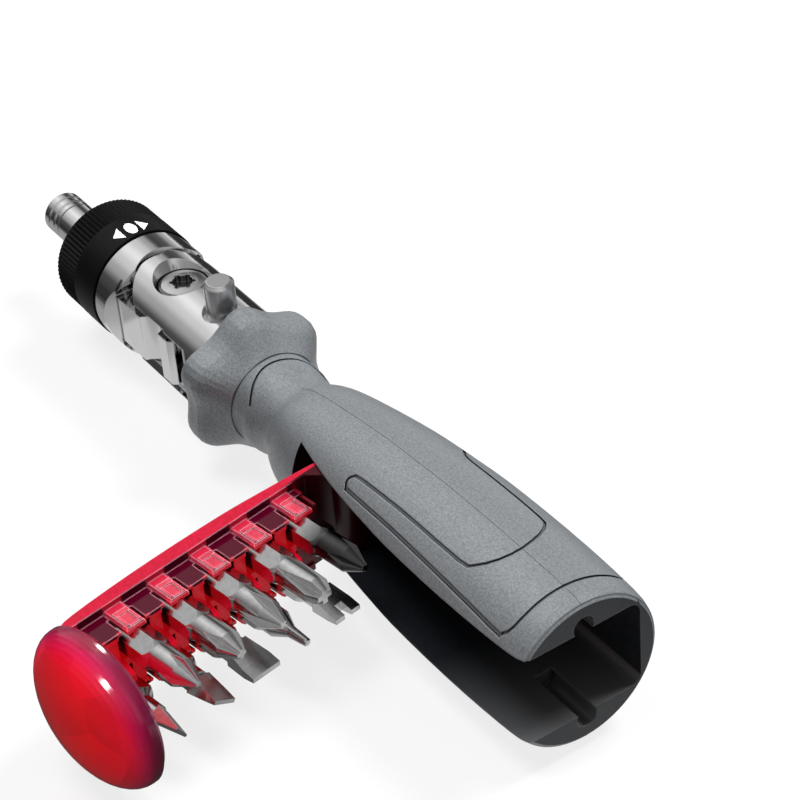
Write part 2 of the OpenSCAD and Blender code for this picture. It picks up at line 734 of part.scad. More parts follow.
module pawl() {
  translate([0, pawl_pivot[0], pawl_pivot[1]]) rotate([-pawl_turn, 0, 0])
    translate([0, -pawl_pivot[0], -pawl_pivot[1]]) {
      along_x(gear_x, gear_end) union() {
        pawl_outline();
        translate(pawl_pivot) circle(pawl_boss, $fn = small_seg);
      }
      translate([0, pawl_pivot[0], pawl_pivot[1]])
        rod_x(gear_x, chamber_end + pawl_pin_l - pass_gap, pawl_pin_r, small_seg);
      translate([0, peg_meshed[0], peg_meshed[1]])
        rod_x(plate_x + run_gap, gear_end, peg_r, fine_seg);
    }
}

module pawl_left() {
  color([0.5, 0.5, 0.52]) pawl();
}

module pawl_right() {
  color([0.5, 0.5, 0.52]) mirror([0, 1, 0]) pawl();
}

// Cam plate: turns with the ring and carries the pawls' pegs in two curved slots.
module cam_plate() {
  peg_rest = turn_about(peg_meshed, pawl_pivot, -pawl_turn);
  color([0.6, 0.6, 0.62]) along_x(plate_x, plate_x + plate_t) difference() {
    union() {
      circle(chamber_r - plate_edge, $fn = round_seg);
      square([2 * tab_half, 2 * (ring_bore + tab_reach)], center = true);
    }
    circle(plate_bore, $fn = small_seg);
    for (side = [0, 1]) mirror([side, 0]) for (k = [-notch_steps:notch_steps])
      let (turn = k * (ring_turn + 1) / notch_steps,
           peg = turn_about(peg_rest, pawl_pivot, pawl_ratio * turn))
      rotate(-turn) translate(peg) circle(peg_r + peg_clear, $fn = fine_seg);
  }
}

module pawl_spring() {
  color([0.66, 0.66, 0.68]) along_x(gear_x + pass_gap, gear_end - pass_gap) intersection() {
    difference() {
      circle(chamber_r - plate_edge, $fn = round_seg);
      circle(chamber_r - plate_edge - spring_leaf, $fn = round_seg);
    }
    polygon([[0, 0], [-2 * chamber_r * sin(spring_leaf_angle), -2 * chamber_r * cos(spring_leaf_angle)],
      [2 * chamber_r * sin(spring_leaf_angle), -2 * chamber_r * cos(spring_leaf_angle)]]);
  }
}

module detent_ball() {
  color([0.8, 0.8, 0.82]) translate([detent_x, housing_r - detent_r, 0])
    sphere(detent_r - run_gap / 2, $fn = small_seg);
}

module detent_spring() {
  color([0.7, 0.7, 0.72]) translate([detent_x, housing_r - detent_l + run_gap, 0])
    rotate([0, 0, 90])
      coil_x(0, detent_l - 2 * detent_r - run_gap, detent_r - run_gap, detent_wire, spring_turns);
}

module spindle() {
  color([0.76, 0.76, 0.78]) difference() {
    union() {
      turned([[0, 0], [0, nose_r - nose_edge], [nose_edge, nose_r],
        [nose_band, nose_r], [nose_band + nose_cut_d, nose_r - nose_cut_d],
        [nose_band + nose_cut_l, nose_r - nose_cut_d], [nose_band + 2 * nose_cut_l, nose_r],
        [2 * nose_band, nose_r], [2 * nose_band + nose_cut_d, nose_r - nose_cut_d],
        [2 * nose_band + nose_cut_l, nose_r - nose_cut_d],
        [2 * nose_band + 2 * nose_cut_l, nose_r],
        [nose_l, nose_r], [nose_l, spindle_r], [gear_x, spindle_r], [gear_x, 0]]);
      hex_x(gear_x - over, gear_end, gear_hex);
      rod_x(gear_end - over, bearing_x + tail_l, tail_r, small_seg);
    }
    hex_x(-over, socket_depth, bit_af + 2 * socket_gap);
    rod_x(socket_depth - over, socket_depth + magnet_l, magnet_r + run_gap, small_seg);
    rotate([0, 90, 0])
      cylinder(h = mouth_l, r1 = mouth_r, r2 = bit_af / 2, $fn = small_seg);
    difference() {
      rod_x(clip_x - run_gap, clip_x + clip_t + run_gap, clip_r);
      rod_x(clip_x - over, clip_x + clip_t + over, clip_bore - run_gap, small_seg);
    }
  }
}

module ratchet_gear() {
  color([0.55, 0.55, 0.57]) along_x(gear_x, gear_end) difference() {
    polygon([for (i = [0:2 * gear_teeth - 1]) let (angle = 180 * i / gear_teeth,
      r = i % 2 == 0 ? tooth_root : gear_r) [r * cos(angle), r * sin(angle)]]);
    rotate(90) circle((gear_hex / 2 + run_gap) * flat_share, $fn = 6);
  }
}

module retaining_ring() {
  color([0.3, 0.3, 0.32]) along_x(clip_x, clip_x + clip_t) difference() {
    circle(clip_r, $fn = small_seg);
    circle(clip_bore, $fn = small_seg);
    translate([-clip_mouth, -clip_r - over]) square([2 * clip_mouth, clip_r + over]);
  }
}

module bit_magnet() {
  color([0.35, 0.35, 0.37]) rod_x(socket_depth, socket_depth + magnet_l, magnet_r, small_seg);
}

// Rows of bits: place of a bit in the shut magazine, top row first.
function bit_place(row, i) = [hinge_x + first_bit + row * row_shift + i * bit_pitch,
  bit_seat, row == 0 ? row_h : -row_h];

// Puts a bit, drawn with its butt at the origin and its tip towards +X, in the rack.
module in_rack(row, i) {
  swung_open() translate(bit_place(row, i)) rotate([0, 0, 90]) children();
}

module rack_plan() {
  union() {
    polygon([[hinge_x - heel_r, -2 * grip_r], [hinge_x - heel_r, -hinge_off - hinge_boss],
      [hinge_x - hinge_boss, -hinge_off], [hinge_x + hinge_boss, -hinge_off],
      [bay_x, bit_seat], [cap_x + disc_t, bit_seat], [cap_x + disc_t, -2 * grip_r]]);
    translate([hinge_x, -hinge_off]) circle(hinge_boss, $fn = small_seg);
  }
}

// Tab over a bit, bevelled along its front and sides, from the face of the bit's flat.
module rack_tab() {
  front = block_y + clip_y;
  intersection() {
    along_x(-clip_half, clip_half) polygon([[-over, -over], [front, -over],
      [front, clip_h - clip_edge], [front - clip_edge, clip_h], [-over, clip_h]]);
    translate([0, front + over, 0]) rotate([90, 0, 0]) linear_extrude(front + 3 * over)
      polygon([[-clip_half, -2 * over], [clip_half, -2 * over], [clip_half, clip_h - clip_edge],
        [clip_half - clip_edge, clip_h], [clip_edge - clip_half, clip_h],
        [-clip_half, clip_h - clip_edge]]);
  }
}

module magazine_rack() {
  block_from = bit_place(0, 0)[0] - block_l;
  block_end = cap_x + run_gap;
  top_face = row_h + bit_af / 2 + bit_gap;
  front = bit_seat + block_y;
  color([0.8, 0.07, 0.13, 0.8]) swung_open() difference() {
    union() {
      intersection() {
        translate([0, 0, -rack_h]) linear_extrude(2 * rack_h) rack_plan();
        grip_form(mag_gap / 2, cap_gap + disc_t);
        union() {
          rod_z(hinge_x, -hinge_off, -rack_h, rack_h, heel_r, round_seg);
          translate([hinge_x, -2 * grip_r, -rack_h]) cube([cap_x - hinge_x, 4 * grip_r, 2 * rack_h]);
        }
      }
      translate([block_from, bit_seat - over, -top_face])
        cube([block_end - block_from, over + block_y, 2 * top_face]);
      translate([block_from, bit_seat - over, -top_face - lug_h])
        cube([block_end - block_from, over + block_root, 2 * (top_face + lug_h)]);
      for (row = [0, 1]) mirror([0, 0, row]) for (i = [0:4]) let (p = bit_place(row, i)) {
        translate([p[0], bit_seat, top_face]) rack_tab();
        translate([p[0] + (1 - 2 * row) * bit_pitch / 2 - lug_half, bit_seat - over, top_face - over])
          cube([2 * lug_half, over + block_y + lug_y, over + lug_h]);
      }
      // fins that part the upper bits from the lower ones
      translate([0, 0, -shelf_half]) linear_extrude(2 * shelf_half) for (i = [0:4])
        translate([bit_place(1, i)[0], front]) polygon([[-fin_root, -over], [fin_root, -over],
          [fin_root, 0], [fin_end, fin_l], [-fin_end, fin_l], [-fin_root, 0]]);
      // disc that closes the cap behind the handle's rear face
      rod_x(cap_x, cap_x + disc_t, cap_r - cap_wall - run_gap);
    }
    for (row = [0, 1]) for (i = [0:4]) translate(bit_place(row, i)) rotate([0, 0, 90])
      hex_x(0, bit_l, bit_af + 2 * bit_gap);
    for (row = [0, 1]) mirror([0, 0, row]) for (i = [0:4]) let (p = bit_place(row, i))
      translate([p[0] - mouth_half, front - mouth_d, shelf_half])
        cube([2 * mouth_half, mouth_d + clip_y + over, top_face - shelf_half]);
    rod_z(hinge_x, -hinge_off, -grip_r, grip_r, hinge_r + run_gap);
  }
}

module magazine_cap() {
  shell = [for (k = [0:cap_seg]) let (a = 90 * k / cap_seg)
    [cap_x + cap_band + (dome_bulge - cap_band) * sin(a), cap_r * cos(a)]];
  hollow = [for (k = [cap_seg:-1:0]) let (a = 90 * k / cap_seg)
    [cap_x + cap_band + disc_t + (dome_bulge - cap_band - disc_t - cap_wall) * sin(a),
     (cap_r - cap_wall) * cos(a)]];
  color([0.75, 0.04, 0.2, 0.8]) swung_open() turned(concat(
    [[cap_x, cap_r - cap_wall], [cap_x, cap_r - cap_edge], [cap_x + cap_edge, cap_r]], shell, hollow));
}

module magazine_pin() {
  low = -sqrt(pow(grip_r * pin_low_share, 2) - pow(hinge_off, 2));
  color([0.7, 0.7, 0.72]) union() {
    rod_z(hinge_x, -hinge_off, low + pin_chamfer, bay_h + pin_wall - run_gap, hinge_r);
    translate([hinge_x, -hinge_off, low])
      cylinder(h = pin_chamfer, r1 = hinge_r - pin_chamfer, r2 = hinge_r, $fn = small_seg);
  }
}

// Hexagonal end of a bit with a chamfered butt and a cone down to its shank.
module bit_body(shank_r) {
  corner = bit_af / 2 * flat_share;
  intersection() {
    hex_x(0, hex_l + cone_l, bit_af);
    turned([[0, 0], [0, corner - butt_edge], [butt_edge, corner], [hex_l, corner],
      [hex_l + cone_l, shank_r], [hex_l + cone_l, 0]], small_seg);
  }
}

// Cross-head bit: round shank, cone and four flutes.
module cross_bit(k) {
  taper = (cross_shank[k] - cross_tip[k]) / tan(cross_cone_angle);
  lean = atan((cross_shank[k] - cross_web[k]) / cross_flute_l[k]);
  color(steel) difference() {
    union() {
      bit_body(cross_shank[k]);
      turned([[hex_l, 0], [hex_l, cross_shank[k]], [bit_l - taper, cross_shank[k]],
        [bit_l, cross_tip[k]], [bit_l, 0]], small_seg);
    }
    for (i = [0:3]) rotate([45 + 90 * i + cross_turn_angle[k], 0, 0])
      translate([bit_l, 0, cross_web[k]]) rotate([0, lean, 0])
        translate([-bit_l, 0, 0]) rotate([45, 0, 0]) cube([2 * bit_l, flute_w, flute_w]);
  }
}

// Flat blade that narrows in one view and widens or narrows in the other.
module blade(k) {
  root = bit_l - slot_blade[k];
  side = slot_shank[k];
  edge = bit_l - slot_blade[k] / 3;
  intersection() {
    translate([0, 0, -2 * side]) linear_extrude(4 * side)
      polygon([[root, -side * root_share], [edge, -slot_half[k]], [bit_l, -slot_half[k]],
        [bit_l, slot_half[k]], [edge, slot_half[k]], [root, side * root_share]]);
    translate([0, 2 * side, 0]) rotate([90, 0, 0]) linear_extrude(4 * side)
      polygon([[root, -side * blade_share], [bit_l, -slot_tip[k] / 2], [bit_l, slot_tip[k] / 2],
        [root, side * blade_share]]);
    rod_x(root - over, bit_l + over, max(slot_half[k], side) + slot_tip[k], small_seg);
  }
}

module slot_bit(k) {
  color(steel) union() {
    bit_body(slot_shank[k]);
    rod_x(hex_l, bit_l - slot_blade[k] + run_gap, slot_shank[k], small_seg);
    rotate([slot_turn_angle[k], 0, 0]) blade(k);
  }
}

module bit_cross_1() {
  in_rack(0, 4) cross_bit(0);
}

module bit_cross_2() {
  in_rack(0, 3) cross_bit(1);
}

module bit_cross_3() {
  in_rack(0, 2) cross_bit(2);
}

module bit_cross_4() {
  in_rack(0, 1) cross_bit(3);
}

module bit_cross_5() {
  in_rack(0, 0) cross_bit(4);
}

module bit_slot_narrow() {
  in_rack(1, 4) slot_bit(0);
}

module bit_slot_medium() {
  in_rack(1, 3) slot_bit(1);
}

module bit_slot_wide() {
  in_rack(1, 2) slot_bit(2);
}

module bit_pin() {
  in_rack(1, 1) color(steel) union() {
    bit_body(pin_shank);
    turned([[hex_l, 0], [hex_l, pin_shank], [bit_l - pin_bit_l - pin_step, pin_shank],
      [bit_l - pin_bit_l, pin_root_r], [bit_l - pin_edge, pin_bit_r],
      [bit_l, pin_bit_r - pin_edge], [bit_l, 0]], small_seg);
  }
}

module bit_fork() {
  in_rack(1, 0) difference() {
    slot_bit(3);
    color(steel) translate([bit_l - fork_l, -fork_half, -slot_half[3]])
      cube([fork_l + over, 2 * fork_half, 2 * slot_half[3]]);
  }
}

handle();
barrel();
pivot_screw();
lock_pin();
lock_ball();
lock_spring();
ratchet_housing();
selector_ring();
front_cap();
cam_plate();
pawl_left();
pawl_right();
pawl_spring();
detent_ball();
detent_spring();
spindle();
ratchet_gear();
retaining_ring();
bit_magnet();
magazine_rack();
magazine_cap();
magazine_pin();
bit_cross_1();
bit_cross_2();
bit_cross_3();
bit_cross_4();
bit_cross_5();
bit_slot_narrow();
bit_slot_medium();
bit_slot_wide();
bit_pin();
bit_fork();
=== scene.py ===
import math

import bmesh
import bpy
from mathutils import Euler, Matrix, Vector


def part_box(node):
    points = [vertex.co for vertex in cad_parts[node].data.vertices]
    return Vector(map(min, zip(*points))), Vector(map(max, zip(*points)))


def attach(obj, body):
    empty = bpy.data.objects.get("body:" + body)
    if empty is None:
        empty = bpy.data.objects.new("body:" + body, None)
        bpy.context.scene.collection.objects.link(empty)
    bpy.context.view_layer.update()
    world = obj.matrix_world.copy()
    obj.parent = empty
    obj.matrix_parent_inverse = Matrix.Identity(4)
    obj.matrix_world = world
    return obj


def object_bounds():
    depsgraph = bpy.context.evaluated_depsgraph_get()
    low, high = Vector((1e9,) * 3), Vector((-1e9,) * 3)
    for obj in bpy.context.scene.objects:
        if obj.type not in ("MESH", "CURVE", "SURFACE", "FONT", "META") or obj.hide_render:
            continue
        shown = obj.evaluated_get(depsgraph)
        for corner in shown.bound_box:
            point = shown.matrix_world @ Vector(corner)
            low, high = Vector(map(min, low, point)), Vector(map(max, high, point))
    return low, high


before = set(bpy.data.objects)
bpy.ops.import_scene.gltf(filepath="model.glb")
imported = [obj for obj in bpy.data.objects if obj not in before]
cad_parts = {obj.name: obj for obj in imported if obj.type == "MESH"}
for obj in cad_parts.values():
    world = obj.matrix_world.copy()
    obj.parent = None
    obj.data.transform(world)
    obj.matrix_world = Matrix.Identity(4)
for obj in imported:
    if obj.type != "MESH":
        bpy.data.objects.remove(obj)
cad_box = [list(corner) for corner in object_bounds()]
bpy.ops.object.select_all(action="DESELECT")

# Studio: a pale floor under the tool, a white room above it, two soft lamps and a long lens.
# Polished metal mirrors grey bands in the room and the floor, as from flags set round plated
# steel, and two small lamps that light the dome alone give it its two glints.
CAMERA_PLACE = Vector((0.4833, -0.2056, 0.3340))
CAMERA_AIM = Vector((0.0687, 0.0494, -0.0422))
CAMERA_ROLL_DEG = -5.1
LENS = 113.0
NEAREST_SEEN = 0.05
camera = bpy.data.objects.new("camera", bpy.data.cameras.new("camera"))
bpy.context.collection.objects.link(camera)
camera.data.lens = LENS
camera.data.clip_start = NEAREST_SEEN
camera.location = CAMERA_PLACE
camera.rotation_mode = "QUATERNION"
look = (CAMERA_AIM - CAMERA_PLACE).to_track_quat("-Z", "Y")
camera.rotation_quaternion = look @ Euler((0, 0, math.radians(CAMERA_ROLL_DEG))).to_quaternion()
bpy.context.scene.camera = camera
bpy.context.scene.view_settings.view_transform = "Standard"

# Floor: a wide matt sheet, set a hair below the tool. The camera sees it nearly white, and
# polished metal mirrors it in greys, by the distance from the tool's line, and dimmer round
# the nose.
FLOOR_SIZE = 6
FLOOR_CENTRE_X = 0.1
FLOOR_GAP = 0.0006
FLOOR_PAINT = (0.86, 0.86, 0.86)
FLOOR_BOUNCE = (0.3, 0.3, 0.3)
WHITE_SHARE = 0.8
MIRRORED_REACH = 0.1
MIRRORED_TONES = ((0, 0.68), (0.3, 0.6), (0.42, 0.42), (0.55, 0.12), (0.75, 0.05), (1, 0.06))
# The stretch round the nose is measured from the floor's own centre.
NOSE_SPAN = (-0.1, -0.05)
NOSE_TONES = ((0, 0.55), (0.48, 0.6), (0.54, 1), (1, 1))


def new_finish(name):
    """A new material, its nodes and the sockets of its surface."""
    made = bpy.data.materials.new(name)
    made.use_nodes = True
    return made, made.node_tree, made.node_tree.nodes["Principled BSDF"].inputs


def put(tree, socket, value):
    """Give a socket a link, a colour or a number."""
    if isinstance(value, bpy.types.NodeSocket):
        tree.links.new(value, socket)
    elif isinstance(value, tuple):
        socket.default_value = (*value, 1)
    else:
        socket.default_value = value


def reckon(tree, operation, first, second=0):
    made = tree.nodes.new("ShaderNodeMath")
    made.operation = operation
    put(tree, made.inputs[0], first)
    put(tree, made.inputs[1], second)
    return made.outputs[0]


def fade(tree, value, start, end, low=0, high=1):
    """Go from low to high while the value goes from start to end."""
    made = tree.nodes.new("ShaderNodeMapRange")
    made.inputs["From Min"].default_value = start
    made.inputs["From Max"].default_value = end
    made.inputs["To Min"].default_value = low
    made.inputs["To Max"].default_value = high
    put(tree, made.inputs["Value"], value)
    return made.outputs[0]


def graded(tree, value, steps, join="LINEAR"):
    """Colours by value: each step is a place from 0 to 1 and its colour."""
    made = tree.nodes.new("ShaderNodeValToRGB")
    ramp = made.color_ramp
    ramp.interpolation = join
    while len(ramp.elements) < len(steps):
        ramp.elements.new(0.5)
    for element, (place, colour) in zip(ramp.elements, steps):
        element.position = place
        element.color = (*colour, 1)
    put(tree, made.inputs[0], value)
    return made.outputs[0]


def greys(steps):
    return [(place, (tone,) * 3) for place, tone in steps]


def paint_over(tree, mask, under_coat, top_coat, blend="MIX"):
    made = tree.nodes.new("ShaderNodeMix")
    made.data_type = "RGBA"
    made.blend_type = blend
    put(tree, made.inputs[0], mask)
    put(tree, made.inputs[6], under_coat)
    put(tree, made.inputs[7], top_coat)
    return made.outputs[2]


def choose(tree, mask, first, second):
    """One shader where the mask is 0 and another where it is 1."""
    made = tree.nodes.new("ShaderNodeMixShader")
    for socket, source in zip(made.inputs, (mask, first, second)):
        put(tree, socket, source)
    return made.outputs[0]


def lay_out(tree, turn_deg=0, shift=(0, 0, 0)):
    """A piece's own X, Y and Z, turned about Z and then moved."""
    own = tree.nodes.new("ShaderNodeTexCoord")
    turned = tree.nodes.new("ShaderNodeMapping")
    turned.inputs["Rotation"].default_value[2] = math.radians(turn_deg)
    turned.inputs["Location"].default_value = shift
    put(tree, turned.inputs["Vector"], own.outputs["Object"])
    split = tree.nodes.new("ShaderNodeSeparateXYZ")
    put(tree, split.inputs[0], turned.outputs[0])
    return split.outputs[0], split.outputs[1], split.outputs[2]


bpy.ops.mesh.primitive_plane_add(
    size=FLOOR_SIZE, location=(FLOOR_CENTRE_X, 0, cad_box[0][2] - FLOOR_GAP))
floor = bpy.context.object
floor.name = "floor"
floor_paint, tree, surface = new_finish("floor_paint")
surface["Roughness"].default_value = 0.9
surface["Specular IOR Level"].default_value = 0
ray = tree.nodes.new("ShaderNodeLightPath").outputs
put(tree, surface["Base Color"],
    paint_over(tree, ray["Is Diffuse Ray"], FLOOR_PAINT, FLOOR_BOUNCE))
white = tree.nodes.new("ShaderNodeEmission")
seen = reckon(tree, "MAXIMUM", ray["Is Camera Ray"], ray["Is Transmission Ray"])
pale = choose(tree, reckon(tree, "MULTIPLY", seen, WHITE_SHARE),
              tree.nodes["Principled BSDF"].outputs[0], white.outputs[0])
along, across, _ = lay_out(tree)
aside = fade(tree, reckon(tree, "ABSOLUTE", across), 0, MIRRORED_REACH)
mirrored = graded(tree, aside, greys(MIRRORED_TONES), "EASE")
by_nose = graded(tree, fade(tree, along, *NOSE_SPAN), greys(NOSE_TONES), "EASE")
dim = tree.nodes.new("ShaderNodeEmission")
put(tree, dim.inputs["Color"], paint_over(tree, 1, mirrored, by_nose, "MULTIPLY"))
put(tree, tree.nodes["Material Output"].inputs["Surface"],
    choose(tree, ray["Is Glossy Ray"], pale, dim.outputs[0]))
floor.data.materials.append(floor_paint)

# Room: white and even, so that it lights the tool from all sides. Its grey bands, which only
# polished metal mirrors, lie by the angle about the tool's length: one set in front of the nose
# and a softer one over the rest.
ROOM_LIGHT = 0.24
# How far a direction points along the tool where the front set gives way to the other.
FRONT_EDGE = (-0.6, -0.4)
FRONT_BANDS = ((0, 0.05), (0.1, 0.07), (0.24, 0.42), (0.36, 0.72), (0.48, 0.98), (0.6, 0.7),
               (0.69, 0.4), (0.76, 0.06), (0.85, 0.09), (0.93, 0.4), (1, 0.85))
OPEN_BANDS = ((0, 0.16), (0.15, 0.3), (0.45, 0.6), (0.6, 0.42), (0.74, 0.16), (0.9, 0.2),
              (1, 0.4))
world = bpy.data.worlds.new("room")
bpy.context.scene.world = world
world.use_nodes = True
tree = world.node_tree
room = tree.nodes["Background"]
room.inputs["Color"].default_value = (1, 1, 1, 1)
room.inputs["Strength"].default_value = ROOM_LIGHT
backdrop = tree.nodes.new("ShaderNodeBackground")
flags = tree.nodes.new("ShaderNodeBackground")
towards = tree.nodes.new("ShaderNodeSeparateXYZ")
put(tree, towards.inputs[0], tree.nodes.new("ShaderNodeTexCoord").outputs["Generated"])
turn = reckon(tree, "ARCTAN2", towards.outputs["Z"],
              reckon(tree, "MULTIPLY", towards.outputs["Y"], -1))
half_turn = fade(tree, turn, 0, math.pi)
facing = fade(tree, towards.outputs["X"], *FRONT_EDGE)
facing.node.interpolation_type = "SMOOTHSTEP"
put(tree, flags.inputs["Color"], paint_over(
    tree, facing, graded(tree, half_turn, greys(FRONT_BANDS), "EASE"),
    graded(tree, half_turn, greys(OPEN_BANDS), "EASE")))
ray = tree.nodes.new("ShaderNodeLightPath").outputs
seen = reckon(tree, "MAXIMUM", ray["Is Camera Ray"], ray["Is Transmission Ray"])
lit_or_mirrored = choose(tree, ray["Is Glossy Ray"], room.outputs[0], flags.outputs[0])
put(tree, tree.nodes["World Output"].inputs["Surface"],
    choose(tree, seen, lit_or_mirrored, backdrop.outputs[0]))

# Lamps: round soft boxes, each with its place, width and watts. The two that light the whole
# tool aren't mirrored, and the two glints fall on the dome alone.
LAMP_AIM = Vector((0.1, -0.02, 0))
LAMPS = {
    "key_lamp": ((0.2, 0.62, 0.78), 0.4, 12.0),
    "side_lamp": ((-0.05, -0.2, 1.0), 0.5, 7.0),
    "upper_glint": ((-0.035, 0.083, 0.447), 0.11, 1.6),
    "lower_glint": ((0.295, -0.479, 0.289), 0.09, 1.1),
}
dome_only = bpy.data.collections.new("dome_only")
dome_only.objects.link(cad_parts["magazine_cap"])
for name, (place, width, watts) in LAMPS.items():
    lamp = bpy.data.objects.new(name, bpy.data.lights.new(name, "AREA"))
    bpy.context.collection.objects.link(lamp)
    lamp.data.shape = "DISK"
    lamp.data.size = width
    lamp.data.energy = watts
    if name.endswith("glint"):
        lamp.light_linking.receiver_collection = dome_only
    else:
        lamp.visible_glossy = False
    lamp.location = place
    lamp.rotation_mode = "QUATERNION"
    lamp.rotation_quaternion = (LAMP_AIM - Vector(place)).to_track_quat("-Z", "Y")

# Grip: one moulding of hard plastic with a fine spark-eroded grain, from the six-lobed hand
# guard to the open butt. Its outside is sprayed with metallic grey; on the end face the raw dark
# plastic shows, and inside the bay the same dark tone is painted shade.
BAY_HALF = 0.01063
BAY_WALL = 0.01343
BAY_FRONT = 0.1444
GRIP_END = 0.20705
CHANNEL_HALF = 0.0032
CHANNEL_TOP = 0.0146
HINGE = (0.1373, -0.0078)
HEEL_ROOM = 0.01225
MOUTH_DEPTH = 0.03
LIT_WALL_HEIGHT = 0.002
SPRAYED = ((0.205, 0.22, 0.235), (0.325, 0.345, 0.36))
RAW_PLASTIC_AND_SHADE = ((0.009, 0.011, 0.014), (0.017, 0.020, 0.025))
LIT_WALL = (0.11, 0.112, 0.115)
RUBBED_AND_LIT = (0.45, 0.48, 0.50)
CORNER_SHADE = (0.02, 0.022, 0.025)
CORNER_REACH = 0.0014
CORNER_OPEN = (0.84, 0.45)
WEAR_AND_HIGHLIGHT_BEND = (0.2, 0.6)
WEAR_AND_HIGHLIGHT_SHARE = 0.5
RAW_WEAR_AND_HIGHLIGHT_LOSS = 0.6
SPRAY_METAL = 0.45


def dress(node, made):
    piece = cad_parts[node]
    piece.data.materials.clear()
    piece.data.materials.append(made)


def speckle(tree, scale, detail=3.0):
    own = tree.nodes.new("ShaderNodeTexCoord")
    noise = tree.nodes.new("ShaderNodeTexNoise")
    noise.inputs["Scale"].default_value = scale
    noise.inputs["Detail"].default_value = detail
    put(tree, noise.inputs["Vector"], own.outputs["Object"])
    return noise.outputs[0]


def mottled(tree, grain, low, high):
    """Two colours, mixed by the grain."""
    return graded(tree, grain, ((0.3, low), (0.7, high)))


def raise_grain(tree, surface, grain, depth, strength, edges=None):
    bump = tree.nodes.new("ShaderNodeBump")
    bump.inputs["Distance"].default_value = depth
    bump.inputs["Strength"].default_value = strength
    put(tree, bump.inputs["Height"], grain)
    if edges is not None:
        put(tree, bump.inputs["Normal"], edges)
    put(tree, surface["Normal"], bump.outputs[0])


def soften_edges(tree, radius):
    rounded = tree.nodes.new("ShaderNodeBevel")
    rounded.samples = 4
    rounded.inputs["Radius"].default_value = radius
    return rounded.outputs[0]


def edge_wear_and_highlight(tree, edges, low, high):
    """A mask that is 1 where the softened edges turn away from the flat faces."""
    face = tree.nodes.new("ShaderNodeNewGeometry")
    bend = tree.nodes.new("ShaderNodeVectorMath")
    bend.operation = "DISTANCE"
    put(tree, bend.inputs[0], edges)
    put(tree, bend.inputs[1], face.outputs["Normal"])
    return fade(tree, bend.outputs["Value"], low, high)


def times(tree, first, second):
    return reckon(tree, "MULTIPLY", first, second)


def less(tree, first, second):
    return reckon(tree, "SUBTRACT", first, second)


def either(tree, first, second):
    return reckon(tree, "MAXIMUM", first, second)


def under(tree, value, limit):
    return reckon(tree, "LESS_THAN", value, limit)


def over(tree, value, limit):
    return reckon(tree, "GREATER_THAN", value, limit)


def apart(tree, value):
    """How far a value is from 0, to either side."""
    return reckon(tree, "ABSOLUTE", value)


# Raw dark plastic shows on the end face, and the same dark is painted shade in the bay, in the
# room for the rack's heel round the hinge and in the two channels beside the bay. The bay's low
# wall is paler near its mouth, as painted light.
grip_plastic, tree, surface = new_finish("grip_plastic")
along, across, up = lay_out(tree)
height = apart(tree, up)
past_front = over(tree, along, BAY_FRONT)
bay = times(tree, under(tree, across, BAY_WALL), past_front)
from_pin = [reckon(tree, "POWER", less(tree, axis, centre), 2)
            for axis, centre in zip((along, across), HINGE)]
heel = under(tree, reckon(tree, "ADD", *from_pin), HEEL_ROOM ** 2)
inside = times(tree, either(tree, bay, heel), under(tree, height, BAY_HALF))
channel = times(tree, under(tree, apart(tree, across), CHANNEL_HALF),
                times(tree, under(tree, height, CHANNEL_TOP), past_front))
raw_and_shade = either(tree, either(tree, inside, channel), over(tree, along, GRIP_END))

grain = speckle(tree, scale=2300, detail=2)
# Painted light on the bay's low wall, brighter towards its mouth.
mouth = times(tree, fade(tree, along, GRIP_END - MOUTH_DEPTH, GRIP_END),
              under(tree, along, GRIP_END))
lit = times(tree, mouth, under(tree, up, LIT_WALL_HEIGHT - BAY_HALF))
unsprayed_light_and_shade = paint_over(tree, lit, mottled(tree, grain, *RAW_PLASTIC_AND_SHADE), LIT_WALL)
paint = paint_over(tree, raw_and_shade, mottled(tree, grain, *SPRAYED), unsprayed_light_and_shade)
# Wear and a painted highlight lie on the edges that bend most, and less on raw plastic. Corners
# are in painted shade where little of the room reaches them.
edges = soften_edges(tree, radius=0.0004)
worn_and_lit = times(tree, times(tree, edge_wear_and_highlight(tree, edges, *WEAR_AND_HIGHLIGHT_BEND), WEAR_AND_HIGHLIGHT_SHARE),
             less(tree, 1, times(tree, raw_and_shade, RAW_WEAR_AND_HIGHLIGHT_LOSS)))
corners = tree.nodes.new("ShaderNodeAmbientOcclusion")
corners.samples = 8
corners.inputs["Distance"].default_value = CORNER_REACH
put(tree, surface["Base Color"], paint_over(
    tree, fade(tree, corners.outputs["AO"], *CORNER_OPEN),
    paint_over(tree, worn_and_lit, paint, RUBBED_AND_LIT), CORNER_SHADE))
surface["Roughness"].default_value = 0.38
put(tree, surface["Metallic"], times(tree, less(tree, 1, raw_and_shade), SPRAY_METAL))
raise_grain(tree, surface, grain, depth=0.00008, strength=0.6, edges=edges)
dress("handle", grip_plastic)

# Barrel, front cap and nose: turned steel, polished and plated, with a faint haze on the
# polish. The barrel is held by its tang in the grip, and the nose turns in the front cap.
PLATED = ((0.76, 0.76, 0.77), (0.84, 0.84, 0.85))
POLISH = ((0.07,) * 3, (0.12,) * 3)
plated_steel, tree, surface = new_finish("plated_steel")
haze = speckle(tree, scale=90)
put(tree, surface["Base Color"], mottled(tree, haze, *PLATED))
put(tree, surface["Roughness"], mottled(tree, haze, *POLISH))
surface["Metallic"].default_value = 1
edges = soften_edges(tree, radius=0.0003)
raise_grain(tree, surface, haze, depth=0.00001, strength=0.2, edges=edges)
for node in ("barrel", "front_cap", "spindle"):
    dress(node, plated_steel)

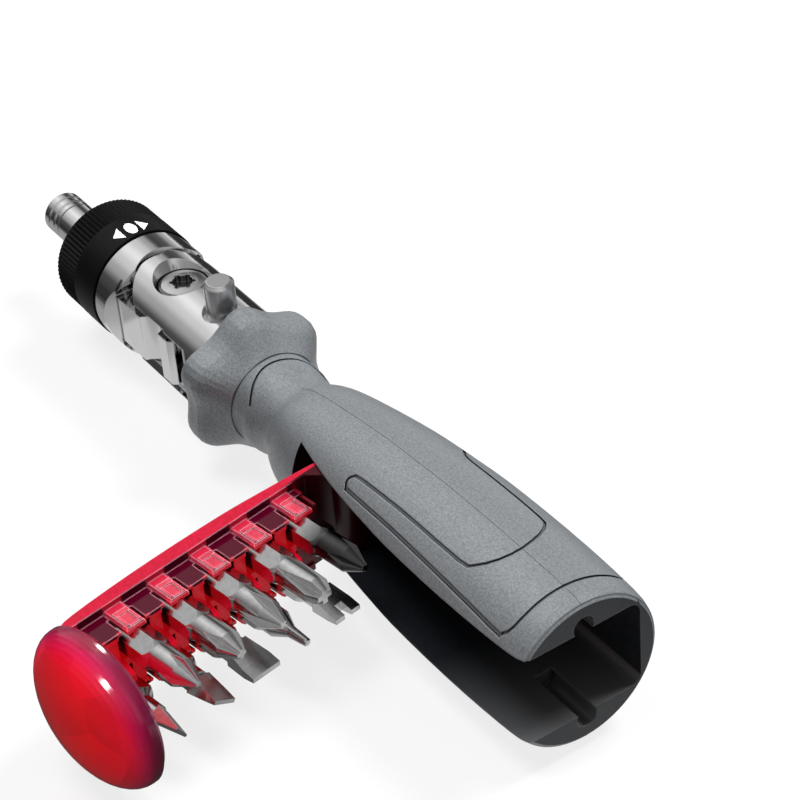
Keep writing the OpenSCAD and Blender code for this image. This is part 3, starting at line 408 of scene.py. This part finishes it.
# Tongue and its collar: one piece of the same plated steel, pinned between the barrel's ears.
# The photograph has a dark line where the flat flank meets the collar, and it is painted here.
CREASE_X = 0.0486
CREASE_HALF = 0.0007
CREASE_CORE = 0.0001
CREASE_SHADE = (0.08, 0.08, 0.08)
FLANK_Y = 0.0095
tongue_steel = plated_steel.copy()
tongue_steel.name = "tongue_steel"
tree = tongue_steel.node_tree
colour = tree.nodes["Principled BSDF"].inputs["Base Color"]
along, across, _ = lay_out(tree, 0, (-CREASE_X, 0, 0))
# Painted shade: a dark line in the crease where the flat flank meets the collar.
crease = times(tree, fade(tree, apart(tree, along), CREASE_HALF, CREASE_CORE),
               over(tree, apart(tree, across), FLANK_Y))
put(tree, colour, paint_over(tree, crease, colour.links[0].from_socket, CREASE_SHADE))
dress("ratchet_housing", tongue_steel)

# Lock pin: a turned steel pin, left satin, so that it blurs what it mirrors. It slides in the
# barrel and drops into a notch of the tongue.
TURNED = ((0.74,) * 3, (0.90,) * 3)
pin_steel, tree, surface = new_finish("pin_steel")
tool_marks = tree.nodes.new("ShaderNodeTexWave")
tool_marks.bands_direction = "Z"
tool_marks.inputs["Scale"].default_value = 900
put(tree, tool_marks.inputs["Vector"],
    tree.nodes.new("ShaderNodeTexCoord").outputs["Object"])
put(tree, surface["Base Color"], mottled(tree, tool_marks.outputs[0], *TURNED))
surface["Metallic"].default_value = 1
surface["Roughness"].default_value = 0.24
edges = soften_edges(tree, radius=0.0003)
raise_grain(tree, surface, tool_marks.outputs[0], depth=0.000008, strength=0.3, edges=edges)
dress("lock_pin", pin_steel)

# Pivot screw: the same plated steel, sunk in the barrel's ears, which it joins to the tongue.
# The gap round its head is a dark line of painted shade, and its drive is painted darker than
# its face, as shade in the recess.
PIVOT_X = 0.0601
HEAD_R = 0.0056
HEAD_FACE = 0.01115
SCREW_FACE = ((0.66,) * 3, (0.78,) * 3)
DRIVE_SHADE = (0.24, 0.24, 0.24)
GAP_SHADE = (0.035, 0.034, 0.033)
screw_steel, tree, surface = new_finish("screw_steel")
along, across, up = lay_out(tree, 0, (-PIVOT_X, 0, 0))
from_axis = reckon(tree, "SQRT", reckon(
    tree, "ADD", reckon(tree, "POWER", along, 2), reckon(tree, "POWER", across, 2)))
haze = speckle(tree, scale=300)
face = paint_over(tree, under(tree, apart(tree, up), HEAD_FACE),
                  mottled(tree, haze, *SCREW_FACE), DRIVE_SHADE)
put(tree, surface["Base Color"], paint_over(tree, over(tree, from_axis, HEAD_R), face, GAP_SHADE))
surface["Metallic"].default_value = 1
surface["Roughness"].default_value = 0.2
edges = soften_edges(tree, radius=0.0004)
raise_grain(tree, surface, haze, depth=0.00001, strength=0.3, edges=edges)
dress("pivot_screw", screw_steel)

# Selector ring: moulded black plastic with a fine satin grain and a knurled front. It turns on
# the neck between its two stops.
RING_BLACK = ((0.0025, 0.0025, 0.0027), (0.0055, 0.0055, 0.006))
ring_plastic, tree, surface = new_finish("ring_plastic")
grain = speckle(tree, scale=2200)
put(tree, surface["Base Color"], mottled(tree, grain, *RING_BLACK))
surface["Roughness"].default_value = 0.42
surface["Specular IOR Level"].default_value = 0.12
edges = soften_edges(tree, radius=0.0002)
raise_grain(tree, surface, grain, depth=0.00004, strength=0.5, edges=edges)
dress("selector_ring", ring_plastic)

# Marks for drive, lock and reverse: two wedges and an oval printed in white on the ring's
# smooth band, a paint film thick enough to feel. Each has its sides, its place round the ring,
# its radius along the tool and round the ring, and which way it points.
RING_R = 0.0141
MARK_X = 0.0372
PAINT = 0.0001
WEDGE = (0.00274, 0.0016)
OVAL = (0.0024, 0.00135)
MARKS = (
    ("mark_reverse", 3, -13.4, WEDGE, 180),
    ("mark_lock", 40, 0, OVAL, 0),
    ("mark_drive", 3, 12.2, WEDGE, 0),
)


def pick_top(piece):
    """Open a piece for editing, with only the faces that look up selected."""
    bpy.ops.object.mode_set(mode="EDIT")
    bpy.ops.mesh.select_mode(type="FACE")
    bpy.ops.mesh.select_all(action="DESELECT")
    shape = bmesh.from_edit_mesh(piece.data)
    for face in shape.faces:
        face.select = face.normal.z > 0.9
    bmesh.update_edit_mesh(piece.data)


def fix(location=False, rotation=False, scale=False):
    bpy.ops.object.transform_apply(location=location, rotation=rotation, scale=scale)


mark_paint, tree, surface = new_finish("mark_paint")
grain = speckle(tree, scale=1500)
put(tree, surface["Base Color"], mottled(tree, grain, (0.8, 0.8, 0.79), (0.88, 0.88, 0.87)))
surface["Roughness"].default_value = 0.5
raise_grain(tree, surface, grain, depth=0.00002, strength=0.4)
for name, sides, turn_deg, (along_r, round_r), points_deg in MARKS:
    bpy.ops.mesh.primitive_cylinder_add(vertices=sides, radius=1, depth=PAINT)
    mark = bpy.context.object
    mark.name = name
    mark.rotation_euler.z = math.radians(points_deg)
    fix(rotation=True)
    mark.scale = (along_r, round_r, 1)
    fix(scale=True)
    pick_top(mark)
    bpy.ops.mesh.bevel(offset=PAINT / 4, segments=2, affect="EDGES")
    bpy.ops.object.mode_set(mode="OBJECT")
    mark.location = (MARK_X, 0, RING_R)
    fix(location=True)
    mark.rotation_euler.x = -math.radians(turn_deg)
    fix(rotation=True)
    mark.data.materials.append(mark_paint)
    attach(mark, "ring")

# Works of the ratchet, magnet, hinge pin and small springs: hardened steel, lightly oiled.
# They sit in the tongue's tube and in the lock pin's bore, and the pin holds the magazine.
HARDENED = ((0.30, 0.30, 0.31), (0.42, 0.42, 0.43))
tool_steel, tree, surface = new_finish("tool_steel")
haze = speckle(tree, scale=600)
put(tree, surface["Base Color"], mottled(tree, haze, *HARDENED))
surface["Metallic"].default_value = 1
surface["Roughness"].default_value = 0.3
raise_grain(tree, surface, haze, depth=0.00001, strength=0.4)
for node in ("lock_ball", "lock_spring", "cam_plate", "pawl_left", "pawl_right", "pawl_spring",
             "detent_ball", "detent_spring", "ratchet_gear", "retaining_ring", "bit_magnet",
             "magazine_pin"):
    dress(node, tool_steel)

# Magazine rack: clear red plastic, moulded with a tab over each bit and a block between two
# tabs. Light that comes through its walls is painted as a faint glow of their own here, its
# edges carry a painted highlight, and pockets, blocks and the end by the hinge get painted
# shade.
OPEN_DEG = 80.5
PITCH = 0.0109
FIRST_TAB = 0.0142
ROW_SHIFT = 0.0056
ROW_START = 0.15
TAB_HALF = 0.00236
TAB_FACE = 0.0076
FACE_SLACK = 0.0001
POCKET_HALF = 0.00402
POCKET_MOUTH = -0.0061
MIDDLE_WALL = 0.00092
COVER_BACK = -0.0122
SHADED_BACK = -0.0125
RACK_RED = ((0.38, 0.003, 0.020), (0.50, 0.006, 0.034))
TAB_RED = (0.46, 0.014, 0.042)
BLOCK_SHADE = (0.06, 0.0005, 0.009)
POCKET_SHADE = (0.012, 0.0005, 0.001)
EDGE_HIGHLIGHT_PINK = (0.85, 0.32, 0.42)
HINGE_SHADE = (0.02, 0.0, 0.002)
EDGE_BEND = (0.05, 0.4)
EDGE_LINE = 0.06
CREST_LINE = 0.7
SHADE_PAST_HINGE = (0.009, 0.0145)
SHADE_SHARE = 0.96
WALL_GLOW = (0.75, 0.004, 0.008)
GLOW = 0.35
WALL_ROUGH = 0.3
CREST_POLISH = 0.2
# The masks are laid out on the shut magazine, so its own X, Y and Z are turned about the hinge.
# Each cell of a row holds one bit, with a tab over its middle and a pocket under that.
open_turn = math.radians(OPEN_DEG)
shift = Vector(HINGE) - Matrix.Rotation(open_turn, 2) @ Vector(HINGE)
SHUT = (OPEN_DEG, (shift.x, shift.y, 0))
rack_red, tree, surface = new_finish("rack_red")
along, across, up = lay_out(tree, *SHUT)
height = apart(tree, up)
row_start = reckon(tree, "ADD", times(tree, under(tree, up, 0), ROW_SHIFT),
                   HINGE[0] + FIRST_TAB - PITCH / 2)
cell = reckon(tree, "DIVIDE", less(tree, along, row_start), PITCH)
off_tab = times(tree, apart(tree, less(tree, reckon(tree, "FRACT", cell), 0.5)), PITCH)
on_top = over(tree, height, TAB_FACE - FACE_SLACK)
in_row = times(tree, over(tree, cell, ROW_START), over(tree, across, COVER_BACK))
crest = times(tree, on_top, in_row)
tab = times(tree, crest, under(tree, off_tab, TAB_HALF))
block = less(tree, crest, tab)
pocket = times(tree, under(tree, off_tab, POCKET_HALF),
               less(tree, under(tree, across, POCKET_MOUTH), on_top))
pocket = times(tree, times(tree, pocket, in_row), over(tree, height, MIDDLE_WALL))
haze = speckle(tree, scale=1400, detail=1)
colour = mottled(tree, haze, *RACK_RED)
# Painted shade in the blocks and pockets; the tabs keep a red of their own.
for mask, tone in ((tab, TAB_RED), (block, BLOCK_SHADE), (pocket, POCKET_SHADE)):
    colour = paint_over(tree, mask, colour, tone)
edges = soften_edges(tree, radius=0.0004)
# Painted highlight: pale pink lines along the edges, strongest on the crest.
line = times(tree, edge_wear_and_highlight(tree, edges, *EDGE_BEND),
             reckon(tree, "ADD", EDGE_LINE, times(tree, crest, CREST_LINE)))
colour = paint_over(tree, line, colour, EDGE_HIGHLIGHT_PINK)
near, far = (HINGE[0] + past for past in SHADE_PAST_HINGE)
shaded = times(tree, fade(tree, along, near, far, SHADE_SHARE, 0),
               over(tree, across, SHADED_BACK))
put(tree, surface["Base Color"], paint_over(tree, shaded, colour, HINGE_SHADE))
# Painted glow: the walls give off a faint red light of their own, for light through the plastic.
wall = less(tree, times(tree, in_row, less(tree, 1, pocket)), crest)
surface["Emission Color"].default_value = (*WALL_GLOW, 1)
put(tree, surface["Emission Strength"], times(tree, either(tree, wall, 0), GLOW))
put(tree, surface["Roughness"], less(tree, WALL_ROUGH, times(tree, crest, CREST_POLISH)))
surface["Specular IOR Level"].default_value = 0.35
raise_grain(tree, surface, haze, depth=0.00001, strength=0.3, edges=edges)
dress("magazine_rack", rack_red)

# Rims on the tabs: each tab has a raised lip round a shallow pan, moulded with the rack, which
# catches the light, and a painted highlight lies on its edges. The grip's shade over the end of
# the first one is painted into its colour.
RIM_PINK = ((0.44, 0.014, 0.042), (0.60, 0.045, 0.085))
RIM_EDGE_HIGHLIGHT = (0.95, 0.5, 0.58)
RIM_SHADE = (0.05, 0.001, 0.006)
RIM_SHADE_PAST_HINGE = (0.0118, 0.0140)
RIM_SHADE_SHARE = 0.8
RIM_ACROSS = -0.00735
RIM_HEIGHT = 0.0089
PAN_WALL = 0.00035
PAN_DEPTH = 0.0002
RIM_EDGE_R = 0.00008
BITS_IN_ROW = 5
# Middle and size of the plate, the two side lips, the front block with its pan and the back lip.
RIM_BLOCKS = (
    ((0, 0, -0.00015), (0.0038, 0.0054, 0.0003)),
    ((-0.0014, 0.0006, 0.00012), (0.0006, 0.0040, 0.0004)),
    ((0.0014, 0.0006, 0.00012), (0.0006, 0.0040, 0.0004)),
    ((0, -0.0019, 0.00012), (0.0034, 0.0013, 0.0005)),
    ((0, 0.0023, 0.00012), (0.0034, 0.0005, 0.0004)),
)
PAN_BLOCK = 3
clear_pink, tree, surface = new_finish("clear_pink")
haze = speckle(tree, scale=400)
edges = soften_edges(tree, radius=0.0002)
colour = paint_over(tree, edge_wear_and_highlight(tree, edges, low=0.1, high=0.5),
                    mottled(tree, haze, *RIM_PINK), RIM_EDGE_HIGHLIGHT)
along = lay_out(tree, *SHUT)[0]
near, far = (HINGE[0] + past for past in RIM_SHADE_PAST_HINGE)
shaded = fade(tree, along, near, far, RIM_SHADE_SHARE, 0)
put(tree, surface["Base Color"], paint_over(tree, shaded, colour, RIM_SHADE))
surface["Roughness"].default_value = 0.07
surface["Specular IOR Level"].default_value = 0.8
raise_grain(tree, surface, haze, depth=0.00002, strength=0.3, edges=edges)

blocks = []
for middle, size in RIM_BLOCKS:
    bpy.ops.mesh.primitive_cube_add(size=1)
    blocks.append(bpy.context.object)
    blocks[-1].scale = size
    blocks[-1].location = middle
    fix(location=True, rotation=True, scale=True)
bpy.ops.object.select_all(action="DESELECT")
blocks[PAN_BLOCK].select_set(True)
bpy.context.view_layer.objects.active = blocks[PAN_BLOCK]
pick_top(blocks[PAN_BLOCK])
bpy.ops.mesh.inset(thickness=PAN_WALL)
bpy.ops.transform.translate(value=(0, 0, -PAN_DEPTH))
bpy.ops.object.mode_set(mode="OBJECT")
for block in blocks:
    block.select_set(True)
bpy.context.view_layer.objects.active = blocks[0]
bpy.ops.object.join()
rim = bpy.context.object
bpy.ops.object.mode_set(mode="EDIT")
bpy.ops.mesh.select_all(action="SELECT")
bpy.ops.mesh.bevel(offset=RIM_EDGE_R, segments=2, affect="EDGES")
bpy.ops.object.mode_set(mode="OBJECT")
rim.data.materials.append(clear_pink)

back = (Matrix.Translation((*HINGE, 0)) @ Matrix.Rotation(-open_turn, 4, "Z")
        @ Matrix.Translation((-HINGE[0], -HINGE[1], 0)))
for row, side in ((0, 1), (1, -1)):
    for place in range(BITS_IN_ROW):
        tab_rim = rim.copy()
        tab_rim.data = rim.data.copy()
        bpy.context.collection.objects.link(tab_rim)
        tab_rim.name = f"tab_rim_{row * BITS_IN_ROW + place + 1}"
        seat = Vector((HINGE[0] + FIRST_TAB + row * ROW_SHIFT + place * PITCH, RIM_ACROSS,
                       side * RIM_HEIGHT))
        flip = Matrix.Rotation(math.pi * row, 4, "Y")
        tab_rim.data.transform(back @ Matrix.Translation(seat) @ flip)
        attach(tab_rim, "magazine")
bpy.data.objects.remove(rim)

# Magazine cap: a clear red dome on the rack's end, polished in the mould. What lies behind it
# shows through as darker facets of painted shade, and the red itself is painted lighter on the
# bulge and darker in a band by the rim, with a pale painted highlight at the rim's edge.
DOME_RIM = 0.2068
DOME_TOP = 0.2173
DOME_LIGHT_AND_SHADE = ((0.0, (0.50, 0.10, 0.22)), (0.05, (0.07, 0.0, 0.02)), (0.3, (0.10, 0.0, 0.028)),
              (0.5, (0.55, 0.0, 0.07)), (0.68, (0.85, 0.0, 0.014)), (1.0, (0.80, 0.0, 0.003)))
FACET_SHADE = (0.16, 0.0, 0.004)
FACET_SHARE = 0.9
clear_red, tree, surface = new_finish("clear_red")
along = lay_out(tree, *SHUT)[0]
# Painted light and shade by the distance from the rim to the top of the dome.
lit_and_shaded_red = graded(tree, fade(tree, along, DOME_RIM, DOME_TOP), DOME_LIGHT_AND_SHADE, "B_SPLINE")
folds = speckle(tree, scale=70, detail=0)
facets = tree.nodes.new("ShaderNodeTexVoronoi")
facets.inputs["Scale"].default_value = 75
put(tree, facets.inputs["Vector"], tree.nodes.new("ShaderNodeTexCoord").outputs["Object"])
facet_tone = tree.nodes.new("ShaderNodeSeparateColor")
put(tree, facet_tone.inputs[0], facets.outputs["Color"])
dark = times(tree, times(tree, facet_tone.outputs[0], folds), FACET_SHARE)
put(tree, surface["Base Color"], paint_over(tree, dark, lit_and_shaded_red, FACET_SHADE))
surface["Roughness"].default_value = 0.5
surface["Specular IOR Level"].default_value = 0.1
surface["Coat Weight"].default_value = 1
surface["Coat Roughness"].default_value = 0.15
raise_grain(tree, surface, folds, depth=0.00003, strength=0.1)
dress("magazine_cap", clear_red)

# Bits: satin tool steel with a hexagon shank, their ends ground, with a fine grain and a painted
# highlight along their edges. Each is held in its pocket of the rack.
GROUND = ((0.60,) * 3, (0.70,) * 3)
BIT_EDGE_HIGHLIGHT = (0.85, 0.85, 0.85)
LAST_BIT = "bit_cross_5"
bit_steel, tree, surface = new_finish("bit_steel")
haze = speckle(tree, scale=900)
edges = soften_edges(tree, radius=0.00016)
put(tree, surface["Base Color"], paint_over(
    tree, edge_wear_and_highlight(tree, edges, low=0.06, high=0.35),
    mottled(tree, haze, *GROUND), BIT_EDGE_HIGHLIGHT))
surface["Metallic"].default_value = 1
surface["Roughness"].default_value = 0.2
raise_grain(tree, surface, haze, depth=0.000006, strength=0.3, edges=edges)
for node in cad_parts:
    if node.startswith("bit_") and node not in ("bit_magnet", LAST_BIT):
        dress(node, bit_steel)

# Bit by the hinge: the same steel as its neighbours. Its tip lies in the shade of the grip in
# the photograph, and that shade is in its colour here.
TIP_SHADE = (0.13, 0.13, 0.13)
SHADE_STARTS = 0.34
SHADE_FULL = 0.58
dark_steel = bit_steel.copy()
dark_steel.name = "dark_steel"
tree = dark_steel.node_tree
colour = tree.nodes["Principled BSDF"].inputs["Base Color"]
along = lay_out(tree)[0]
rear, tip = (corner[0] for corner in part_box(LAST_BIT))
shaded = fade(tree, along, rear + SHADE_STARTS * (tip - rear), rear + SHADE_FULL * (tip - rear))
put(tree, colour,
    paint_over(tree, shaded, colour.links[0].from_socket, TIP_SHADE, "MULTIPLY"))
dress(LAST_BIT, dark_steel)
